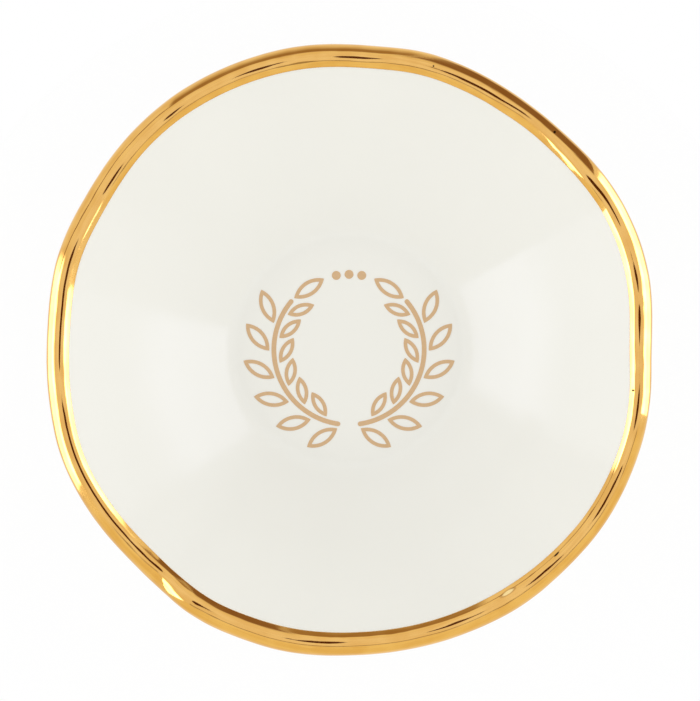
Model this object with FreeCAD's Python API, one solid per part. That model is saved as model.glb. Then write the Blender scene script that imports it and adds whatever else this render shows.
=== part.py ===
import FreeCAD, Part
import math
import os

# Ring dish: a small pinched ceramic bowl on a foot ring, glazed ivory, with a gold lip and a printed wreath.
# All lengths are in millimetres and all angles in degrees. The origin is under the middle of the dish, on the
# surface that it stands on, with +Z up.

# Overall size
RIM_RADIUS = 54.0  # mean outermost radius of the gilded lip
DISH_HEIGHT = 29.0  # from the table to the lip's highest point
RIM_DIP = 4.0  # how far the lip's lowest point lies below its highest

# Inside of the bowl
FLOOR_RADIUS = 20.0
FLOOR_THICKNESS = 4.4
FLOOR_FILLET = 5.0
INNER_FOOT_SLOPE = 26.0
INNER_LIP_SLOPE = 45.0

# Rounded lip, fuller on its outer side
LIP_OUTER_RADIUS = 2.15
LIP_INNER_RADIUS = 2.0

# Outside of the bowl and the foot ring
BASE_RADIUS = 25.0
BASE_SLOPE = 32.0
OUTER_LIP_SLOPE = 48.0
FOOT_HEIGHT = 1.8  # from the table to the glazed underside
FOOT_WIDTH = 3.4
FOOT_LEDGE = 1.0  # step between the foot ring and the bowl's lower edge
FOOT_EDGE_RADIUS = 0.7

# Coats that are fired on
GLAZE_THICKNESS = 0.4
GLAZE_LINE = 0.5  # bare clay left between the glaze and the foot ring
GOLD_THICKNESS = 0.15
GOLD_INNER_REACH = 0.3  # gold below the lip's round, on the inside
GOLD_OUTER_REACH = 2.2  # gold below the lip's round, on the outside

# Printed wreath on the floor
PRINT_THICKNESS = 0.06
WREATH_MARGIN = 0.9  # from the leaf tips to the edge of the flat floor
STEM_WIDTH = 0.85
STEM_GAP = 4.0  # between the two stems, at the bottom of the wreath
LEAF_LENGTH = 6.4
LEAF_WIDTH = 2.7
LEAF_STROKE = 0.65
LEAF_GAP = 0.4  # clear of the stem and of the next leaf
LEAF_TILT = 40.0
INNER_LEAF_SHARE = 0.8  # leaves inside the wreath, against those outside
BERRY_RADIUS = 0.8
BERRY_GAP = 0.7
BERRY_COUNT = 3

# How finely the pinched surface is drawn
AROUND_COUNT = 144
FACES_AROUND = 6
WALL_PULL_SHARE = 0.36
FILLET_STATION_SHARES = (0.0, 0.25, 0.5, 0.75, 1.0)
WALL_STATION_SHARES = (0.06, 0.2, 0.4, 0.6, 0.8, 0.94)
LIP_INNER_STATION_SHARES = (0.0, 0.33, 0.67)
LIP_OUTER_STATION_SHARES = (0.0, 0.2, 0.4, 0.6, 0.8, 1.0)

OVERRUN = 1.0  # how far a cut, or a piece that is joined, runs past the face it meets

# The lip as the fingers left it, read round the dish from +X.
# Seen from above: angle, then shares of the rim's radius and of the lip's outer and inner rounds.
PINCHED_OUTLINE_SHARES = (
    (0, 0.987, 0.97, 1.00),
    (12, 1.006, 1.01, 1.04),
    (22, 1.014, 0.98, 1.02),
    (33, 1.011, 0.94, 1.03),
    (44, 0.998, 0.94, 1.03),
    (52, 0.996, 0.95, 1.06),
    (64, 1.000, 0.97, 1.09),
    (75, 1.004, 1.00, 1.08),
    (86, 0.996, 1.01, 1.05),
    (100, 1.006, 1.04, 1.05),
    (120, 1.009, 1.08, 0.97),
    (135, 1.005, 1.10, 0.86),
    (150, 0.997, 1.11, 0.94),
    (162, 1.000, 1.05, 1.00),
    (176, 0.988, 1.02, 0.98),
    (190, 0.994, 1.03, 0.94),
    (202, 1.004, 1.05, 0.89),
    (213, 0.999, 1.07, 0.89),
    (226, 0.992, 1.08, 0.93),
    (242, 1.008, 1.05, 1.08),
    (250, 1.007, 1.04, 1.12),
    (258, 1.008, 1.04, 1.14),
    (272, 0.999, 1.02, 1.04),
    (288, 1.003, 1.03, 1.04),
    (304, 1.010, 1.05, 1.10),
    (316, 1.008, 0.95, 0.98),
    (326, 1.010, 0.89, 0.98),
    (342, 1.003, 0.87, 0.92),
    (351, 0.995, 0.91, 0.96),
)
# Seen from the side: angle, then share of the lip's height within the dip.
PINCHED_HEIGHT_SHARES = (
    (5, 0.66),
    (13, 0.80),
    (16, 0.80),
    (27, 0.58),
    (33.5, 0.58),
    (36, 0.56),
    (39.5, 0.45),
    (46, 0.23),
    (55, 0.04),
    (70, 0.03),
    (89, 0.38),
    (108, 0.04),
    (126, 0.43),
    (128, 0.43),
    (145, 0.05),
    (160, 0.41),
    (181, 0.38),
    (192, 0.60),
    (209, 0.59),
    (227, 0.60),
    (231, 0.64),
    (237.5, 0.97),
    (240, 1.00),
    (242.5, 0.95),
    (261, 0.54),
    (268, 0.52),
    (288, 0.07),
    (295, 0.09),
    (309, 0.41),
    (315, 0.43),
    (326, 0.69),
    (336, 0.70),
    (347.5, 0.95),
)


def on_circle(radius, angle, height=0):
    turn = math.radians(angle)
    return FreeCAD.Vector(radius * math.cos(turn), radius * math.sin(turn), height)


def in_section(radius, height):
    """A point or direction in the upright half plane that a wall section is drawn in."""
    return FreeCAD.Vector(radius, 0, height)


def slope_direction(slope):
    return in_section(math.cos(math.radians(slope)), math.sin(math.radians(slope)))


def left_of(direction):
    """A section's direction turned a quarter to the left, which points out of the clay."""
    return in_section(-direction.z, direction.x)


def shares_at(angle, rows):
    """A table's shares at an angle, on a smooth curve through its rows."""
    count = len(rows)
    after = next((index for index, row in enumerate(rows) if row[0] > angle), count)
    knots = []
    for place in range(after - 2, after + 2):
        turns, index = divmod(place, count)
        knots.append((rows[index][0] + 360 * turns, rows[index][1:]))
    (angle_a, row_a), (angle_b, row_b), (angle_c, row_c), (angle_d, row_d) = knots
    span = angle_c - angle_b
    s = (angle - angle_b) / span
    shares = []
    for a, b, c, d in zip(row_a, row_b, row_c, row_d):
        slope_b = (c - a) / (angle_c - angle_a) * span
        slope_c = (d - b) / (angle_d - angle_b) * span
        bend = 3 * (c - b) - 2 * slope_b - slope_c
        twist = slope_b + slope_c - 2 * (c - b)
        shares.append(b + s * (slope_b + s * (bend + s * twist)))
    return shares


def pinched_section(angle):
    """The section of the pinched wall at an angle."""
    radius_share, outer_share, inner_share = shares_at(angle, PINCHED_OUTLINE_SHARES)
    (height_share,) = shares_at(angle, PINCHED_HEIGHT_SHARES)
    return section(radius_share, height_share, outer_share, inner_share)


def arc_stations(centre, radius, start, end, shares, facing):
    """Stations on an arc, as point and outward normal. Facing is 1 on a round lip and -1 in a hollow."""
    stations = []
    for share in shares:
        spoke = slope_direction(start + (end - start) * share)
        stations.append((centre + spoke * radius, spoke * facing))
    return stations


def wall_stations(start, start_direction, end, end_direction):
    """Stations on a wall that leaves one end and reaches the other in the given directions."""
    pull = (end - start).Length * WALL_PULL_SHARE
    wall = Part.BezierCurve()
    wall.setPoles([start, start + start_direction * pull, end - end_direction * pull, end])
    return [(wall.value(share), left_of(wall.tangent(share)[0])) for share in WALL_STATION_SHARES]


def section(radius_share, height_share, outer_share, inner_share):
    """A section of the glazed wall: from the floor's edge, up the inside, over the lip, down to the base."""
    floor_top = FOOT_HEIGHT + FLOOR_THICKNESS
    lip_outer = LIP_OUTER_RADIUS * outer_share
    lip_inner = LIP_INNER_RADIUS * inner_share
    crest_radius = RIM_RADIUS * radius_share - GOLD_THICKNESS - lip_outer
    crest_height = DISH_HEIGHT - GOLD_THICKNESS - RIM_DIP * (1 - height_share)

    hollow = arc_stations(
        in_section(FLOOR_RADIUS, floor_top + FLOOR_FILLET),
        FLOOR_FILLET, -90, INNER_FOOT_SLOPE - 90, FILLET_STATION_SHARES, -1,
    )
    lip_inside = arc_stations(
        in_section(crest_radius, crest_height - lip_inner),
        lip_inner, INNER_LIP_SLOPE + 90, 90, LIP_INNER_STATION_SHARES, 1,
    )
    lip_outside = arc_stations(
        in_section(crest_radius, crest_height - lip_outer),
        lip_outer, 90, OUTER_LIP_SLOPE - 90, LIP_OUTER_STATION_SHARES, 1,
    )
    inner_wall = wall_stations(
        hollow[-1][0], slope_direction(INNER_FOOT_SLOPE),
        lip_inside[0][0], slope_direction(INNER_LIP_SLOPE),
    )
    base_edge = in_section(BASE_RADIUS, FOOT_HEIGHT)
    base_direction = slope_direction(BASE_SLOPE) * -1
    outer_wall = wall_stations(
        lip_outside[-1][0], slope_direction(OUTER_LIP_SLOPE) * -1,
        base_edge, base_direction,
    )
    base = [(base_edge, left_of(base_direction))]
    return hollow + inner_wall + lip_inside + lip_outside + outer_wall + base


def places_along():
    """Running length along the even section at each of its stations."""
    points = [point for point, normal in section(1.0, 1.0, 1.0, 1.0)]
    places = [0.0]
    for here, there in zip(points, points[1:]):
        places.append(places[-1] + (there - here).Length)
    return places


def section_places():
    """Running length at the lip's inner end, at its outer end and at the base."""
    lip_start = len(FILLET_STATION_SHARES) + len(WALL_STATION_SHARES)
    lip_end = lip_start + len(LIP_INNER_STATION_SHARES) + len(LIP_OUTER_STATION_SHARES) - 1
    places = places_along()
    return places[lip_start], places[lip_end], places[-1]


def skin(inset):
    """The dish's surface, sunk by inset from the glazed one. Its second direction runs along the section."""
    step = 360 / AROUND_COUNT
    # Poles stand this much outside the ring that a closed cubic spline draws from them.
    pole_share = 3 / (2 + math.cos(math.radians(step)))
    places = places_along()
    wall = Part.BSplineCurve()
    poles = []
    for index in range(AROUND_COUNT):
        angle = index * step
        chain = [point - normal * inset for point, normal in pinched_section(angle)]
        wall.interpolate(Points=chain, Parameters=places)
        poles.append([on_circle(pole.x * pole_share, angle, pole.z) for pole in wall.getPoles()])
    around_knots = list(range(AROUND_COUNT + 1))
    surface = Part.BSplineSurface()
    surface.buildFromPolesMultsKnots(
        poles,
        [1] * len(around_knots), wall.getMultiplicities(),
        around_knots, wall.getKnots(),
        True, False,
        wall.Degree, wall.Degree,
    )
    return surface


def stretches():
    """Start and end, in a skin's first direction, of the faces that it is divided into."""
    length = AROUND_COUNT / FACES_AROUND
    return [(index * length, (index + 1) * length) for index in range(FACES_AROUND)]


def band(surface, start, end):
    """The faces of a skin between two places along its section."""
    return [surface.toShape(a, b, start, end) for a, b in stretches()]


def ring(surface, place):
    """The edges round a skin at one place along its section."""
    around = surface.vIso(place)
    return [around.toShape(a, b) for a, b in stretches()]


def solid_of(faces):
    shell = Part.makeShell(faces)
    shell.sewShape()
    solid = Part.makeSolid(shell)
    if solid.Volume < 0:
        solid.reverse()
    return solid


def filled_dish(inset):
    """The bowl without its foot ring, as one solid, sunk by inset from the glazed surface."""
    surface = skin(inset)
    lip_start, lip_end, base = section_places()
    faces = band(surface, 0, lip_start) + band(surface, lip_start, lip_end) + band(surface, lip_end, base)
    floor = Part.Face(Part.Wire(ring(surface, 0)))
    underside = Part.Face(Part.Wire(ring(surface, base)))
    return solid_of(faces + [floor, underside])


def tube(outer_radius, inner_radius, height):
    """A tube that stands on the table."""
    return Part.makeCylinder(outer_radius, height).cut(Part.makeCylinder(inner_radius, height))


def make_clay_body(bowl):
    """The fired clay: the bowl and the foot ring that it stands on."""
    foot_outer = BASE_RADIUS - FOOT_LEDGE
    foot = tube(foot_outer, foot_outer - FOOT_WIDTH, FOOT_HEIGHT + GLAZE_THICKNESS + OVERRUN)
    standing_edges = [edge for edge in foot.Edges if edge.BoundBox.ZMax < FOOT_HEIGHT]
    return bowl.fuse(foot.makeFillet(FOOT_EDGE_RADIUS, standing_edges))


def make_glaze(bowl):
    """The glaze over the bowl, and the separate pool of it inside the foot ring."""
    foot_outer = BASE_RADIUS - FOOT_LEDGE
    foot_inner = foot_outer - FOOT_WIDTH
    bare_ring = tube(
        foot_outer + GLAZE_LINE, foot_inner - GLAZE_LINE,
        FOOT_HEIGHT + GLAZE_THICKNESS + OVERRUN,
    )
    coats = filled_dish(0).cut(bowl).cut(bare_ring).Solids
    pool, coat = sorted(coats, key=lambda solid: solid.Volume)
    return coat, pool


def make_gold_rim():
    """The band of gold lustre over the lip, lying on the glaze."""
    lip_start, lip_end, _ = section_places()
    start = lip_start - GOLD_INNER_REACH
    end = lip_end + GOLD_OUTER_REACH
    top = skin(-GOLD_THICKNESS)
    under = skin(0)
    faces = band(top, start, end) + band(under, start, end)
    for place in (start, end):
        faces += [Part.makeRuledSurface(a, b) for a, b in zip(ring(top, place), ring(under, place))]
    return solid_of(faces)


def printed(shapes):
    """The print's flat shapes as films of ink on the floor."""
    films = []
    for shape in shapes:
        film = shape.extrude(FreeCAD.Vector(0, 0, PRINT_THICKNESS))
        film.translate(FreeCAD.Vector(0, 0, FOOT_HEIGHT + FLOOR_THICKNESS))
        films.append(film)
    return films


def mirrored(shapes):
    """The shapes of the right branch, followed by those of the left one."""
    return shapes + [shape.mirror(FreeCAD.Vector(0, 0, 0), FreeCAD.Vector(1, 0, 0)) for shape in shapes]


def wreath_radius():
    """Radius of the stems, which keeps the tips of the outer leaves on the flat floor."""
    reach = FLOOR_RADIUS - WREATH_MARGIN
    along = LEAF_LENGTH * math.cos(math.radians(LEAF_TILT))
    out = LEAF_LENGTH * math.sin(math.radians(LEAF_TILT))
    return math.sqrt(reach**2 - along**2) - out - LEAF_GAP - STEM_WIDTH / 2


def berry_step():
    """Angle from one berry to the next."""
    return math.degrees((2 * BERRY_RADIUS + BERRY_GAP) / wreath_radius())


def tip_leaf_turn():
    """Angle that the leaf at a stem's tip covers on the wreath."""
    return 2 * math.degrees(math.asin(LEAF_LENGTH / 2 / wreath_radius()))


def branch_angles():
    """Angles of the right stem's start and end, and of its tip leaf's stalk. That leaf ends by the berries."""
    radius = wreath_radius()
    start = math.degrees(STEM_GAP / 2 / radius) - 90
    berries = berry_step() * (BERRY_COUNT + 1) / 2
    stalk = 90 - berries - tip_leaf_turn()
    return start, stalk - math.degrees((LEAF_GAP + STEM_WIDTH / 2) / radius), stalk


def make_wreath_stems():
    """Two bowed stems with round ends."""
    radius = wreath_radius()
    half = STEM_WIDTH / 2
    start, end, _ = branch_angles()
    edges = []
    for r in (radius + half, radius - half):
        edges.append(Part.Arc(on_circle(r, start), on_circle(r, (start + end) / 2), on_circle(r, end)))
    for angle, onward in ((start, -1), (end, 1)):
        round_end = on_circle(radius, angle + math.degrees(half / radius) * onward)
        edges.append(Part.Arc(on_circle(radius + half, angle), round_end, on_circle(radius - half, angle)))
    outline = Part.Wire(Part.__sortEdges__([edge.toShape() for edge in edges]))
    return printed(mirrored([Part.Face(outline)]))


def almond(half_length, half_width):
    """A pointed leaf shape on the X axis about the origin."""
    tip = FreeCAD.Vector(half_length, 0, 0)
    side = FreeCAD.Vector(0, half_width, 0)
    arcs = [Part.Arc(tip, side, tip * -1), Part.Arc(tip * -1, side * -1, tip)]
    return Part.Face(Part.Wire([arc.toShape() for arc in arcs]))


def leaf(size_share, stalk_radius, angle, tilt):
    """A leaf drawn as an outline of even stroke, from its stalk on the wreath, turned off its run by tilt."""
    length = LEAF_LENGTH * size_share
    width = LEAF_WIDTH * size_share
    arc_radius = (length**2 + width**2) / (4 * width)
    arc_offset = arc_radius - width / 2
    hole_half_length = math.sqrt((arc_radius - LEAF_STROKE) ** 2 - arc_offset**2)
    outline = almond(length / 2, width / 2).cut(almond(hole_half_length, width / 2 - LEAF_STROKE))
    outline.translate(FreeCAD.Vector(length / 2, 0, 0))
    outline.rotate(FreeCAD.Vector(0, 0, 0), FreeCAD.Vector(0, 0, 1), angle + 90 + tilt)
    outline.translate(on_circle(stalk_radius, angle))
    return outline


def make_wreath_leaves():
    """Leaves in two rows along each stem, and one at its tip."""
    radius = wreath_radius()
    start, end, stalk = branch_angles()
    pitch = LEAF_WIDTH / math.sin(math.radians(LEAF_TILT)) + LEAF_GAP
    count = int(math.radians(end - start) * radius / pitch)
    step = (end - start) / count
    off_stem = STEM_WIDTH / 2 + LEAF_GAP
    leaves = [leaf(1.0, radius, stalk, tip_leaf_turn() / 2)]
    for index in range(count):
        angle = start + step * index
        leaves.append(leaf(1.0, radius + off_stem, angle, -LEAF_TILT))
        leaves.append(leaf(INNER_LEAF_SHARE, radius - off_stem, angle + step / 2, LEAF_TILT))
    return printed(mirrored(leaves))


def make_wreath_berries():
    """A row of dots that closes the wreath at its top, between the two tips."""
    first = 90 - berry_step() * (BERRY_COUNT - 1) / 2
    berries = []
    for index in range(BERRY_COUNT):
        outline = Part.makeCircle(BERRY_RADIUS, on_circle(wreath_radius(), first + berry_step() * index))
        berries.append(Part.Face(Part.Wire([outline])))
    return printed(berries)


def main():
    os.makedirs("parts", exist_ok=True)
    bowl = filled_dish(GLAZE_THICKNESS)
    glaze_coat, recess_glaze = make_glaze(bowl)
    nodes = {
        "clay_body": [make_clay_body(bowl)],
        "glaze_coat": [glaze_coat],
        "recess_glaze": [recess_glaze],
        "gold_rim": [make_gold_rim()],
        "wreath_stems": make_wreath_stems(),
        "wreath_leaves": make_wreath_leaves(),
        "wreath_berries": make_wreath_berries(),
    }
    for name, shapes in nodes.items():
        solids = [solid for shape in shapes for solid in shape.Solids]
        node = Part.makeCompound(solids) if len(solids) > 1 else solids[0]
        node.exportStep(f"parts/{name}.step")
        print(name, len(solids), "solids,", round(node.Volume, 2), "mm3, valid:", node.isValid())


main()
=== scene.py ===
from collections import Counter
import math

import bpy
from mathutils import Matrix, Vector, kdtree


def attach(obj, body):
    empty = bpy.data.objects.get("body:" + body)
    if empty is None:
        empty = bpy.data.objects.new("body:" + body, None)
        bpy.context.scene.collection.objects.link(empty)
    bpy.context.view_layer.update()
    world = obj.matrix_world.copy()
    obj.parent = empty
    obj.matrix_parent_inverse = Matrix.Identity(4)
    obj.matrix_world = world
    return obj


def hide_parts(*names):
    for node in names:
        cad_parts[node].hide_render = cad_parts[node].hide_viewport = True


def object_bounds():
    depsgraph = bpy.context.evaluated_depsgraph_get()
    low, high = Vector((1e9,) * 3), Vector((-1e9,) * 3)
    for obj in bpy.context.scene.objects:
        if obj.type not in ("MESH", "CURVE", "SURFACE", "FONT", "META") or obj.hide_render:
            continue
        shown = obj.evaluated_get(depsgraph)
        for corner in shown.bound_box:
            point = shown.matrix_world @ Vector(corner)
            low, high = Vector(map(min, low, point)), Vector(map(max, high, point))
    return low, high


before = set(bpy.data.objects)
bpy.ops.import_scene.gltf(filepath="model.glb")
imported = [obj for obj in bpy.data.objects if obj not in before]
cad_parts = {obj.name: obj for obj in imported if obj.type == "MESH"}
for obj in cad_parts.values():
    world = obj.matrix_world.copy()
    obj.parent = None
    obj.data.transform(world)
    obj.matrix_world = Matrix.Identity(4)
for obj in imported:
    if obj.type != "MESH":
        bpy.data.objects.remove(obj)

cad_low, cad_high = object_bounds()


# Clay body: buff earthenware, pressed into a bowl, pinched along its lip and set on a turned foot ring.
# The glaze hides all of it but the foot, which was wiped bare so that it wouldn't stick to the kiln shelf.
GROG_SIZE = 0.0006
GROG_DETAIL = 4.0
GROG_HEIGHT = 0.00008
STAIN_SIZE = 0.006
STAIN_SHARE = 0.6
CLAY_TONES = (0.3, 0.7)  # noise at which the clay is darkest and palest
CLAY_DARK = (0.58, 0.50, 0.39, 1)
CLAY_PALE = (0.74, 0.67, 0.55, 1)
CLAY_ROUGHNESS = 0.75
CLAY_ROUGHENING = 0.2
CLAY_SHINE = 0.25


class Wire:
    """A socket in a finish's wiring. Sums and products of wires add Math nodes."""

    def __init__(self, tree, socket):
        self.tree = tree
        self.socket = socket

    def add(self, kind, settings, sockets, output=0):
        """Adds a node, makes its settings, sets or links its sockets, and returns one of its outputs."""
        node = self.tree.nodes.new(kind)
        for name, value in settings.items():
            setattr(node, name, value)
        for name, value in sockets.items():
            if isinstance(value, Wire):
                self.tree.links.new(value.socket, node.inputs[name])
            else:
                node.inputs[name].default_value = value
        return Wire(self.tree, node.outputs[output])

    def math(self, operation, *terms):
        return self.add("ShaderNodeMath", {"operation": operation}, dict(enumerate(terms)))

    def vector(self, operation, *terms, output="Vector"):
        return self.add("ShaderNodeVectorMath", {"operation": operation}, dict(enumerate(terms)), output)

    def __add__(self, other):
        return self.math("ADD", self, other)

    __radd__ = __add__

    def __sub__(self, other):
        return self.math("SUBTRACT", self, other)

    def __rsub__(self, other):
        return self.math("SUBTRACT", other, self)

    def __mul__(self, other):
        return self.math("MULTIPLY", self, other)

    __rmul__ = __mul__

    def __truediv__(self, other):
        return self.math("DIVIDE", self, other)

    def rises(self, start, end):
        """0 below start, 1 above end, and smooth between them. It falls instead where start is above end."""
        sockets = {"Value": self, "From Min": start, "From Max": end}
        return self.add("ShaderNodeMapRange", {"interpolation_type": "SMOOTHSTEP"}, sockets)

    def tint(self, low, high):
        """A colour between low, where this is 0, and high, where it is 1."""
        sockets = {"Factor": self, 6: low, 7: high}
        return self.add("ShaderNodeMix", {"data_type": "RGBA"}, sockets, 2)

    def grain(self, size, detail=2.0):
        """Noise whose lumps are about as large as size, over these coordinates."""
        sockets = {"Vector": self, "Scale": 1 / size, "Detail": detail}
        return self.add("ShaderNodeTexNoise", {}, sockets, "Fac")

    def bump(self, height):
        """The normal of a surface that this raises by up to height."""
        return self.add("ShaderNodeBump", {}, {"Height": self, "Distance": height})

    def into(self, shader, name):
        self.tree.links.new(self.socket, shader.inputs[name])


def new_finish(name):
    """A material, its shader, and the wire of its Object coordinates."""
    material = bpy.data.materials.new(name)
    material.use_nodes = True
    tree = material.node_tree
    place = tree.nodes.new("ShaderNodeTexCoord")
    return material, tree.nodes["Principled BSDF"], Wire(tree, place.outputs["Object"])


def wear(piece, material):
    """Gives a piece one material all over."""
    piece.data.materials.clear()
    piece.data.materials.append(material)


bare_clay, clay_shader, place = new_finish("bare_clay")
grog = place.grain(GROG_SIZE, GROG_DETAIL)
stain = place.grain(STAIN_SIZE)
tone = (STAIN_SHARE * stain + (1 - STAIN_SHARE) * grog).rises(*CLAY_TONES)
tone.tint(CLAY_DARK, CLAY_PALE).into(clay_shader, "Base Color")
(CLAY_ROUGHNESS + CLAY_ROUGHENING * grog).into(clay_shader, "Roughness")
grog.bump(GROG_HEIGHT).into(clay_shader, "Normal")
clay_shader.inputs["Specular IOR Level"].default_value = CLAY_SHINE
wear(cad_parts["clay_body"], bare_clay)


# Glaze coat: ivory gloss glaze, poured over the whole bowl and fired to glass about 0.4 mm thick.
# It follows the pinched clay, evens out small marks, and ends in a rounded bead above the foot.
# Its gloss is full in the bowl and fades towards the lip.
GLAZE_THICKNESS = 0.0004
GLAZE_AROUND = 96
# Radius and height of each ring that the wall is drawn out through, a millimetre or two off the glaze.
GLAZE_SECTION = (
    (0.0200, 0.0074), (0.0208, 0.0075), (0.0217, 0.0078), (0.0245, 0.0092), (0.0284, 0.0112),
    (0.0353, 0.0157), (0.0417, 0.0205), (0.0453, 0.0237), (0.0476, 0.0257), (0.0487, 0.0276),
    (0.0496, 0.0289), (0.0511, 0.0296), (0.0527, 0.0294), (0.0540, 0.0285), (0.0549, 0.0271),
    (0.0552, 0.0255), (0.0549, 0.0240), (0.0541, 0.0229), (0.0476, 0.0163), (0.0407, 0.0108),
    (0.0335, 0.0058), (0.0262, 0.0012), (0.0254, 0.0010), (0.0245, 0.0012),
)
# Radius and height of the middle of the round lip that the sections are drawn for.
LIP_MIDDLE = (0.0517, 0.0252)
LIP_ROUND = 0.0023
STILL_RADIUS = 0.022  # the wall doesn't move with the lip inside this radius
PRESS_LIFT = 0.0001
# Bearing from +X, lean outwards from straight up, rise, and reach along and across the lip, of each mark
# that the potter's fingers left.
LIP_PINCHES = (
    (35.8, -40, 0.00025, 0.007, 0.0026),
    (50.5, -40, -0.00025, 0.008, 0.0026),
    (230.2, 38, -0.0002, 0.004, 0.003),
    (236.6, 38, 0.0003, 0.0052, 0.003),
)
CLOUD_SIZE = 0.02
GLAZE_WARM = (0.875, 0.868, 0.808, 1)
GLAZE_PALE = (0.89, 0.883, 0.825, 1)
RIPPLE_SIZE = 0.003
RIPPLE_HEIGHT = 0.000004
GLAZE_ROUGHNESS = 0.08
GLAZE_ROUGHENING = 0.05
GLAZE_SHINE = 0.03
# The clear, glossy top of the glaze is full inside the first radius, and thinned outside the second.
POOLED_RADIUS = 0.032
THINNED_RADIUS = 0.040
THINNED_SHARE = 0.85
CLEAR_IOR = 1.205
CLEAR_ROUGHNESS = 0.1


def drawn_out(name, section, around):
    """A wall drawn out ring by ring from a circle, along a section of radii and heights."""
    bpy.ops.object.select_all(action="DESELECT")
    (radius, height), *further = section
    bpy.ops.mesh.primitive_circle_add(vertices=around, radius=radius, location=(0, 0, height))
    piece = bpy.context.object
    piece.name = name
    bpy.ops.object.transform_apply(location=True)
    bpy.ops.object.mode_set(mode="EDIT")
    for next_radius, next_height in further:
        rise = {"value": (0, 0, next_height - height)}
        bpy.ops.mesh.extrude_region_move(TRANSFORM_OT_translate=rise)
        spread = next_radius / radius
        bpy.ops.transform.resize(value=(spread, spread, 1), center_override=(0, 0, next_height))
        radius, height = next_radius, next_height
    bpy.ops.object.mode_set(mode="OBJECT")
    return piece


def lip_at(out):
    """Radius and height of the middle of the pinched lip, in a direction from the dish's middle."""
    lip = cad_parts["gold_rim"]
    up = Vector((0, 0, 1))
    height = lip.ray_cast(out * LIP_MIDDLE[0] + up, -up)[1].z - LIP_ROUND
    radius = lip.ray_cast(out + up * height, -out)[1].xy.length - LIP_ROUND
    return radius, height


def follow_lip(piece, around):
    """Moves a drawn-out wall with the pinched lip, wholly at the lip and not at all at the floor."""
    for spoke in range(around):
        out = piece.data.vertices[spoke].co.copy()
        out.z = 0
        out.normalize()
        radius, height = lip_at(out)
        move = out * (radius - LIP_MIDDLE[0]) + Vector((0, 0, height - LIP_MIDDLE[1]))
        for corner in list(piece.data.vertices)[spoke::around]:
            share = (corner.co.xy.length - STILL_RADIUS) / (LIP_MIDDLE[0] - STILL_RADIUS)
            corner.co += move * min(max(share, 0), 1)


def pinch_lip(piece):
    """Presses the marks of the potter's fingers into the lip."""
    for bearing, lean, rise, along, across in LIP_PINCHES:
        turn = math.radians(bearing)
        tilt = math.radians(lean)
        out = Vector((math.cos(turn), math.sin(turn), 0))
        onward = Vector((-math.sin(turn), math.cos(turn), 0))
        radius, height = lip_at(out)
        outward = out * math.sin(tilt) + Vector((0, 0, math.cos(tilt)))
        spot = out * radius + Vector((0, 0, height)) + outward * LIP_ROUND
        for corner in piece.data.vertices:
            off = corner.co - spot
            share = (off.dot(onward) / along) ** 2 + (off.cross(onward).length / across) ** 2
            if share < 1:
                corner.co += outward * rise * (1 - share) ** 2


def fill_first_ring(piece, around):
    """Closes the first ring of a drawn-out wall with a grid of faces."""
    bpy.ops.object.mode_set(mode="EDIT")
    bpy.ops.mesh.select_all(action="DESELECT")
    bpy.ops.object.mode_set(mode="OBJECT")
    for edge in piece.data.edges:
        edge.select = all(index < around for index in edge.vertices)
    bpy.ops.object.mode_set(mode="EDIT")
    bpy.ops.mesh.fill_grid(span=around // 4)
    bpy.ops.object.mode_set(mode="OBJECT")


def modify(piece, kind, **settings):
    """Adds a modifier and applies it."""
    modifier = piece.modifiers.new(kind.lower(), kind)
    for name, value in settings.items():
        setattr(modifier, name, value)
    bpy.context.view_layer.objects.active = piece
    bpy.ops.object.modifier_apply(modifier=modifier.name)


def face_outwards(piece):
    bpy.ops.object.mode_set(mode="EDIT")
    bpy.ops.mesh.select_all(action="SELECT")
    bpy.ops.mesh.normals_make_consistent(inside=False)
    bpy.ops.object.mode_set(mode="OBJECT")
    bpy.ops.object.shade_smooth()


def press_onto(piece, node):
    """Lays a mesh on the skin of a node, and rounds it off with twice as many faces each way."""
    modify(piece, "DISPLACE", strength=PRESS_LIFT, mid_level=0)
    modify(piece, "SHRINKWRAP", target=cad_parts[node], wrap_method="NEAREST_SURFACEPOINT")
    modify(piece, "SUBSURF", levels=1, render_levels=1)


glaze_coat = drawn_out("glazed_bowl", GLAZE_SECTION, GLAZE_AROUND)
follow_lip(glaze_coat, GLAZE_AROUND)
fill_first_ring(glaze_coat, GLAZE_AROUND)
face_outwards(glaze_coat)
press_onto(glaze_coat, "glaze_coat")
press_onto(glaze_coat, "glaze_coat")
pinch_lip(glaze_coat)
modify(glaze_coat, "SOLIDIFY", thickness=GLAZE_THICKNESS, offset=-1)

ivory_glaze, glaze_shader, place = new_finish("ivory_glaze")
cloud = place.grain(CLOUD_SIZE)
cloud.tint(GLAZE_WARM, GLAZE_PALE).into(glaze_shader, "Base Color")
ripple = place.grain(RIPPLE_SIZE)
flat = place.vector("MULTIPLY", place, (1, 1, 0))
thinned = flat.vector("LENGTH", flat, output="Value").rises(POOLED_RADIUS, THINNED_RADIUS)
(GLAZE_ROUGHNESS + GLAZE_ROUGHENING * ripple).into(glaze_shader, "Roughness")
(1 - THINNED_SHARE * thinned).into(glaze_shader, "Coat Weight")
ripple.bump(RIPPLE_HEIGHT).into(glaze_shader, "Normal")
glaze_shader.inputs["Specular IOR Level"].default_value = GLAZE_SHINE
glaze_shader.inputs["Coat IOR"].default_value = CLEAR_IOR
glaze_shader.inputs["Coat Roughness"].default_value = CLEAR_ROUGHNESS
wear(glaze_coat, ivory_glaze)
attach(glaze_coat, "root")
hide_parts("glaze_coat")


# Recess glaze: a pool of the same glaze inside the foot ring, kept apart from the bowl's by the bare foot.
# It settled flat in the kiln and is hardly seen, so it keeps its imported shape.
wear(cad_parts["recess_glaze"], ivory_glaze)


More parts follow.
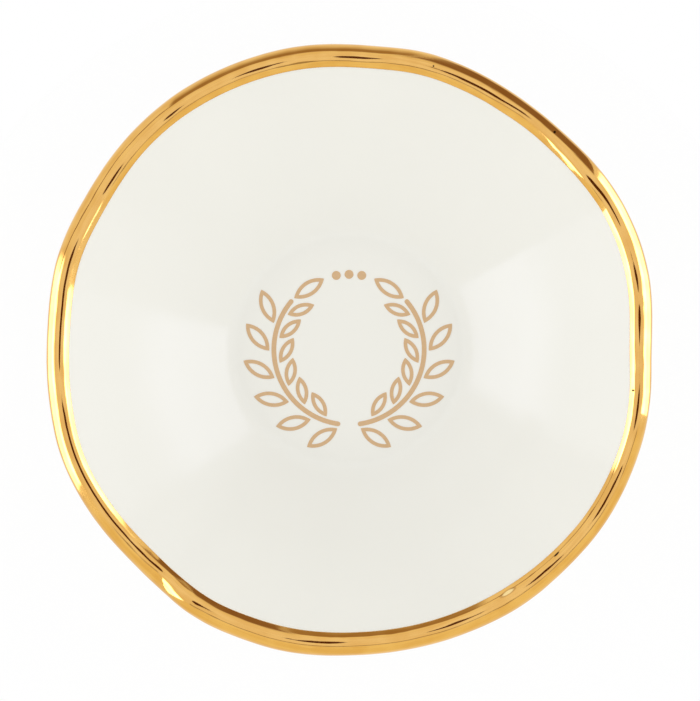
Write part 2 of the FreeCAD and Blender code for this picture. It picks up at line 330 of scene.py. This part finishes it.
# Gold rim: bright gold lustre, brushed over the lip and fired on top of the glaze.
# It runs further down outside than inside, and its mirror shows every pinch of the lip.
GOLD_THICKNESS = 0.00015
GOLD_AROUND = 144
# Radius and height of each ring that the band is drawn out through, a millimetre or two off the gold.
GOLD_SECTION = (
    (0.0491, 0.02755), (0.0494, 0.0280), (0.0498, 0.0285), (0.0503, 0.0289), (0.05085, 0.02915),
    (0.0515, 0.0293), (0.0522, 0.0293), (0.0529, 0.0291), (0.0535, 0.0287), (0.0541, 0.0282),
    (0.0547, 0.0274), (0.0551, 0.0265), (0.0553, 0.0255), (0.0552, 0.0246), (0.0548, 0.0237),
    (0.0542, 0.0229), (0.0535, 0.0222), (0.0527, 0.0215),
)
GOLD_EDGE = 0.04997  # radius of the gold's inner edge that the section is drawn for
INNER_RINGS = 6
EDGE_SEARCH_STEPS = 12
SMOOTH_EDGE = 0.0008  # how far from the band's edges the lumps fade in
LUMP_SIZE = 0.007
LUMP_HEIGHT = 0.00012
LUMP_LAYERS = 2
STREAK_LENGTH = 0.012
STREAK_WIDTH = 0.0006
STREAK_HEIGHT = 0.000001
STREAK_SHARE = 0.5
FILM_SIZE = 0.004
FILM_TONES = (0.35, 0.65)  # noise at which the film is deepest and palest
GOLD_DEEP = (0.76, 0.42, 0.105, 1)
GOLD_PALE = (0.84, 0.50, 0.145, 1)
GOLD_ROUGHNESS = 0.05
GOLD_ROUGHENING = 0.06
# Bearing from +X, radius, and reach along and across the lip, of the specks that the kiln left.
SPECKS = (
    (46.6, 0.0527, 0.00022, 0.00026),
    (73.4, 0.0521, 0.00014, 0.00017),
    (315.4, 0.0513, 0.0006, 0.00015),
    (351.8, 0.0504, 0.00022, 0.00022),
)
SPECK_DARK = (0.05, 0.025, 0.01, 1)
SPECK_FADE = (1.3, 0.7)  # distances, as shares of its reach, between which a speck comes up
# The same sizes for a painted glint on the gold, and fades for its dark rim, which is painted shade, and its
# pale, unmetallic middle, which is painted highlight.
PAINTED_GLINT = (303.2, 0.0511, 0.0013, 0.00034)
PAINTED_GLINT_RIM = (0.58, 0.32, 0.09, 1)
PAINTED_GLINT_PALE = (0.92, 0.69, 0.29, 1)
GLINT_RIM_FADE = (1.5, 1.1)
GLINT_MIDDLE_FADE = (1.1, 0.6)


def gold_edge_at(out, lip_radius):
    """Radius of the gold's inner edge, in a direction from the dish's middle."""
    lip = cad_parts["gold_rim"]
    up = Vector((0, 0, 1))
    bare, gilded = STILL_RADIUS, lip_radius
    for _ in range(EDGE_SEARCH_STEPS):
        middle = (bare + gilded) / 2
        if lip.ray_cast(out * middle + up, -up)[0]:
            gilded = middle
        else:
            bare = middle
    return gilded


def reach_inner_edge(piece, around):
    """Draws a gold band's inner rings in or out, to where the gold ends."""
    for spoke in range(around):
        corners = list(piece.data.vertices)[spoke::around][:INNER_RINGS]
        out = corners[0].co.copy()
        out.z = 0
        out.normalize()
        lip_radius, _ = lip_at(out)
        stretch = (lip_radius - gold_edge_at(out, lip_radius)) / (LIP_MIDDLE[0] - GOLD_EDGE)
        for corner in corners:
            corner.co += out * (corner.co.xy.length - lip_radius) * (stretch - 1)


def from_spot(flat, spot):
    """Distance from the middle of an oval spot on the lip, seen from above: below 1 inside it."""
    bearing, radius, along, across = spot
    turn = math.radians(bearing)
    out = Vector((math.cos(turn), math.sin(turn), 0))
    onward = Vector((-math.sin(turn), math.cos(turn), 0))
    off = flat.vector("SUBTRACT", flat, out * radius)
    onwards = off.vector("DOT_PRODUCT", off, onward / along, output="Value")
    outwards = off.vector("DOT_PRODUCT", off, out / across, output="Value")
    return onwards.math("SQRT", onwards * onwards + outwards * outwards)


gold_rim = drawn_out("gold_band", GOLD_SECTION, GOLD_AROUND)
follow_lip(gold_rim, GOLD_AROUND)
reach_inner_edge(gold_rim, GOLD_AROUND)
face_outwards(gold_rim)
press_onto(gold_rim, "gold_rim")
press_onto(gold_rim, "gold_rim")
pinch_lip(gold_rim)
uses = Counter(key for face in gold_rim.data.polygons for key in face.edge_keys)
edge_corners = {index for key, count in uses.items() if count == 1 for index in key}
edge_places = kdtree.KDTree(len(edge_corners))
for index in edge_corners:
    edge_places.insert(gold_rim.data.vertices[index].co, index)
edge_places.balance()
lumpy = gold_rim.vertex_groups.new(name="lumpy")
for corner in gold_rim.data.vertices:
    share = edge_places.find(corner.co)[2] / SMOOTH_EDGE
    lumpy.add([corner.index], min(share, 1), "REPLACE")
lumps = bpy.data.textures.new("brushed_lumps", "CLOUDS")
lumps.noise_basis = "IMPROVED_PERLIN"
lumps.noise_depth = LUMP_LAYERS
lumps.noise_scale = LUMP_SIZE
modify(
    gold_rim, "DISPLACE", texture=lumps, texture_coords="GLOBAL",
    strength=LUMP_HEIGHT, mid_level=0.5, vertex_group="lumpy",
)
modify(gold_rim, "SOLIDIFY", thickness=GOLD_THICKNESS, offset=-1)

gold_lustre, gold_shader, place = new_finish("gold_lustre")
flat = place.vector("MULTIPLY", place, (1, 1, 0))
lane = flat.vector("LENGTH", flat, output="Value") / STREAK_WIDTH
lanes = lane.add("ShaderNodeCombineXYZ", {}, {"Z": lane})
streaks = place.vector("MULTIPLY_ADD", place, (1 / STREAK_LENGTH,) * 3, lanes).grain(1.0)
film = place.grain(FILM_SIZE)
tone = (STREAK_SHARE * streaks + (1 - STREAK_SHARE) * film).rises(*FILM_TONES)
colour = tone.tint(GOLD_DEEP, GOLD_PALE)
for spot in SPECKS:
    colour = from_spot(flat, spot).rises(*SPECK_FADE).tint(colour, SPECK_DARK)
# Painted highlight: a pale, unmetallic oval in the gold's colour stands in for a glint off a small facet,
# inside a painted dark rim.
from_painted_glint = from_spot(flat, PAINTED_GLINT)
painted_glint_rim = from_painted_glint.rises(*GLINT_RIM_FADE)
bare = from_painted_glint.rises(*GLINT_MIDDLE_FADE)
colour = painted_glint_rim.tint(colour, PAINTED_GLINT_RIM)
bare.tint(colour, PAINTED_GLINT_PALE).into(gold_shader, "Base Color")
(1 - bare).into(gold_shader, "Metallic")
(GOLD_ROUGHNESS + GOLD_ROUGHENING * film).into(gold_shader, "Roughness")
streaks.bump(STREAK_HEIGHT).into(gold_shader, "Normal")
wear(gold_rim, gold_lustre)
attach(gold_rim, "root")
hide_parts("gold_rim")


# Printed wreath: tan ink, laid on the glaze as a transfer and fired, with a slightly open, grainy film.
# Two stems bow up from the bottom, with a double row of leaves each and three berries between their tips.
INK_GRAIN_SIZE = 0.0004
INK_GRAIN_DETAIL = 4.0
INK_DARK = (0.60, 0.385, 0.19, 1)
INK_PALE = (0.68, 0.44, 0.225, 1)
INK_ROUGHNESS = 0.3
INK_ROUGHENING = 0.2
tan_print, ink_shader, place = new_finish("tan_print")
film = place.grain(INK_GRAIN_SIZE, INK_GRAIN_DETAIL)
film.tint(INK_DARK, INK_PALE).into(ink_shader, "Base Color")
(INK_ROUGHNESS + INK_ROUGHENING * film).into(ink_shader, "Roughness")
for node in ("wreath_stems", "wreath_leaves", "wreath_berries"):
    wear(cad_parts[node], tan_print)


# Photo table: a small round white top, set a little to the front, which keeps the dish's shadow.
# The camera and the gold see it as nearly white, and other light meets it as plain white board.
TABLE_RADIUS = 0.082
TABLE_SHIFT = 0.014
TABLE_DROP = 0.00002
BOARD_WHITE = (0.95, 0.95, 0.95, 1)
BOARD_ROUGHNESS = 0.9
SHADOWLESS_SHARE = 0.93
bpy.ops.object.select_all(action="DESELECT")
table_place = (0, -TABLE_SHIFT, -TABLE_DROP)
bpy.ops.mesh.primitive_circle_add(radius=TABLE_RADIUS, fill_type="NGON", location=table_place)
table = bpy.context.object
table.name = "photo_table"
board, board_shader, place = new_finish("white_board")
board_shader.inputs["Base Color"].default_value = BOARD_WHITE
board_shader.inputs["Roughness"].default_value = BOARD_ROUGHNESS


def seen(wire):
    """1 for what the camera sees, straight or in a mirror or a glass, and 0 for other light."""
    outputs = ("Is Camera Ray", "Is Glossy Ray", "Is Transmission Ray")
    camera, glossy, through = (wire.add("ShaderNodeLightPath", {}, {}, name) for name in outputs)
    total = camera + glossy + through
    return total.math("MINIMUM", total, 1.0)


lit = Wire(place.tree, board_shader.outputs["BSDF"])
white = place.add("ShaderNodeEmission", {}, {"Color": (1, 1, 1, 1), "Strength": 1.0})
mixed = place.add("ShaderNodeMixShader", {}, {"Fac": SHADOWLESS_SHARE * seen(place), 1: lit, 2: white})
place.tree.links.new(mixed.socket, place.tree.nodes["Material Output"].inputs["Surface"])
wear(table, board)


# Studio: an evenly lit white room, with a lamp, a softbox and a lower reflector on each side of the dish.
# A screen and the camera hang over it, with a wall in front and cloths and a grey shade behind.
# The lamps and the shade light or dim the dish, and all but the lamps show in its gloss.
studio = bpy.data.worlds.new("white_room")
studio.use_nodes = True
bpy.context.scene.world = studio
room_shader = studio.node_tree.nodes["Background"]
room_shader.inputs["Color"].default_value = (1, 1, 1, 1)
room_shader.inputs["Strength"].default_value = 1.0

STUDIO_RADIUS = 1.4
LAMP_ZENITH = 70
LAMP_WIDTH = 40
LAMP_HEIGHT = 24
LAMP_RADIANCE = 0.68
PANEL_GAP = 0.02
PANEL_COLUMNS = 32
PANEL_ROWS = 16
SHARP = 0.1
SOFTBOX_WHITE = (5.1, 5.2, 6.3)
REFLECTOR_WHITE = (4.0, 4.1, 4.6)
SCREEN_COOL = (1.02, 1.03, 1.12)
WALL_WARM = (1.0, 0.97, 0.78)
CLOTH_DARK = (0.30, 0.185, 0.11)
CLOTH_BROWN = (0.42, 0.29, 0.16)
SHADE_GREY = (0.5, 0.5, 0.5)
EDGE_GREY = (0.45, 0.40, 0.32)
CAMERA_DARK = (0.10, 0.03, 0.0)
panels = []


def lamp(name, bearing):
    """A soft lamp that faces the dish, which gloss doesn't show. Its sides are angles seen from the dish."""
    turn = math.radians(bearing)
    tilt = math.radians(LAMP_ZENITH)
    flat = math.sin(tilt)
    place = Vector((flat * math.cos(turn), flat * math.sin(turn), math.cos(tilt))) * STUDIO_RADIUS
    bpy.ops.object.light_add(type="AREA", location=place)
    piece = bpy.context.object
    piece.name = name
    piece.rotation_euler = (-place).to_track_quat("-Z", "Y").to_euler()
    piece.data.shape = "RECTANGLE"
    piece.data.size = 2 * STUDIO_RADIUS * math.tan(math.radians(LAMP_WIDTH / 2))
    piece.data.size_y = 2 * STUDIO_RADIUS * math.tan(math.radians(LAMP_HEIGHT / 2))
    piece.data.energy = LAMP_RADIANCE * math.pi * piece.data.size * piece.data.size_y
    piece.visible_camera = False
    piece.visible_glossy = False


def panel(name, bearings, tops, bottoms, colour, softness, shades=False):
    """A panel bent round the dish between two bearings from +X, with slanting top and bottom edges.
    Those are angles from straight up. Softness is how far the start, end, top and bottom fade out.
    It shows in gloss, and where it shades, it also takes light off the dish."""
    bpy.ops.object.select_all(action="DESELECT")
    bpy.ops.mesh.primitive_grid_add(x_subdivisions=PANEL_COLUMNS, y_subdivisions=PANEL_ROWS, size=1)
    piece = bpy.context.object
    piece.name = name
    distance = STUDIO_RADIUS - PANEL_GAP * len(panels)
    for corner in piece.data.vertices:
        along = corner.co.x + 0.5
        down = corner.co.y + 0.5
        turn = math.radians(bearings[0] + (bearings[1] - bearings[0]) * along)
        top = tops[0] + (tops[1] - tops[0]) * along
        bottom = bottoms[0] + (bottoms[1] - bottoms[0]) * along
        tilt = math.radians(top + (bottom - top) * down)
        flat = math.sin(tilt)
        corner.co = Vector((flat * math.cos(turn), flat * math.sin(turn), math.cos(tilt))) * distance
    finish, shader, place = new_finish(name)
    shader.inputs["Base Color"].default_value = (0, 0, 0, 1)
    shader.inputs["Specular IOR Level"].default_value = 0.0
    shader.inputs["Emission Color"].default_value = (*colour, 1)
    shader.inputs["Emission Strength"].default_value = 1.0
    spread = place.add("ShaderNodeTexCoord", {}, {}, "UV")
    along = spread.add("ShaderNodeSeparateXYZ", {}, {"Vector": spread}, "X")
    down = spread.add("ShaderNodeSeparateXYZ", {}, {"Vector": spread}, "Y")
    width = bearings[1] - bearings[0]
    height = bottoms[0] - tops[0]
    start, end, top, bottom = softness
    sides = along.rises(0, start / width) * along.rises(1, 1 - end / width)
    edges = down.rises(0, top / height) * down.rises(1, 1 - bottom / height)
    (sides * edges).into(shader, "Alpha")
    wear(piece, finish)
    piece.visible_camera = False
    piece.visible_diffuse = shades
    piece.visible_shadow = shades
    panels.append(piece)


lamp("right_lamp", 2)
lamp("left_lamp", 177)
panel("overhead_screen", (0, 360), (0, 0), (36, 36), SCREEN_COOL, (SHARP, SHARP, SHARP, 6))
panel("front_wall", (205, 345), (37, 37), (115, 115), WALL_WARM, (15, 15, 6, 15))
panel("back_shade", (66, 128), (50, 50), (84, 84), SHADE_GREY, (10, 10, 10, 15), True)
panel("back_cloth", (68, 126), (46, 46), (122, 122), CLOTH_BROWN, (6, 5, 10, 65))
panel("corner_cloth", (47, 72), (38, 40), (130, 130), CLOTH_DARK, (SHARP, 6, 14, 25))
panel("right_reflector", (-10, 42), (64, 64), (126, 126), REFLECTOR_WHITE, (SHARP, 4, SHARP, 25))
panel("left_reflector", (158, 209.5), (64, 64), (126, 126), REFLECTOR_WHITE, (9, SHARP, SHARP, 25))
panel("right_softbox", (-10, 42), (34, 44), (74, 74), SOFTBOX_WHITE, (SHARP, 4, 12, 10))
panel("left_softbox", (158, 209.5), (42, 42), (74, 74), SOFTBOX_WHITE, (9, SHARP, 12, 10))
panel("cloth_rope", (120, 169), (52, 63), (60, 71), CLOTH_DARK, (4, 4, 2, 2))
panel("screen_edge", (216, 336), (29, 29), (37, 37), EDGE_GREY, (8, 8, 1.5, 1.5))
panel("camera_front", (0, 360), (0, 0), (9.8, 9.8), CAMERA_DARK, (SHARP, SHARP, SHARP, 1))


# Camera: straight above the dish, far enough off that the walls hardly lean in the picture.
CAMERA_DISTANCE = 0.9
RIM_HEIGHT = cad_high.z
IMAGE_SIDE_PX = 701
RIM_RADIUS = 0.054
RIM_RADIUS_PX = 306.5
DISH_CENTRE_OFFSET_PX = (-1.0, 1.0)
pixel = RIM_RADIUS / RIM_RADIUS_PX
camera_data = bpy.data.cameras.new("photo_camera")
camera = bpy.data.objects.new("photo_camera", camera_data)
bpy.context.collection.objects.link(camera)
camera.location = (
    -DISH_CENTRE_OFFSET_PX[0] * pixel,
    -DISH_CENTRE_OFFSET_PX[1] * pixel,
    RIM_HEIGHT + CAMERA_DISTANCE,
)
lip_distance = CAMERA_DISTANCE + RIM_HEIGHT - LIP_MIDDLE[1]
camera_data.lens = camera_data.sensor_width * lip_distance / (IMAGE_SIDE_PX * pixel)
bpy.context.scene.camera = camera
bpy.context.scene.view_settings.view_transform = "Standard"
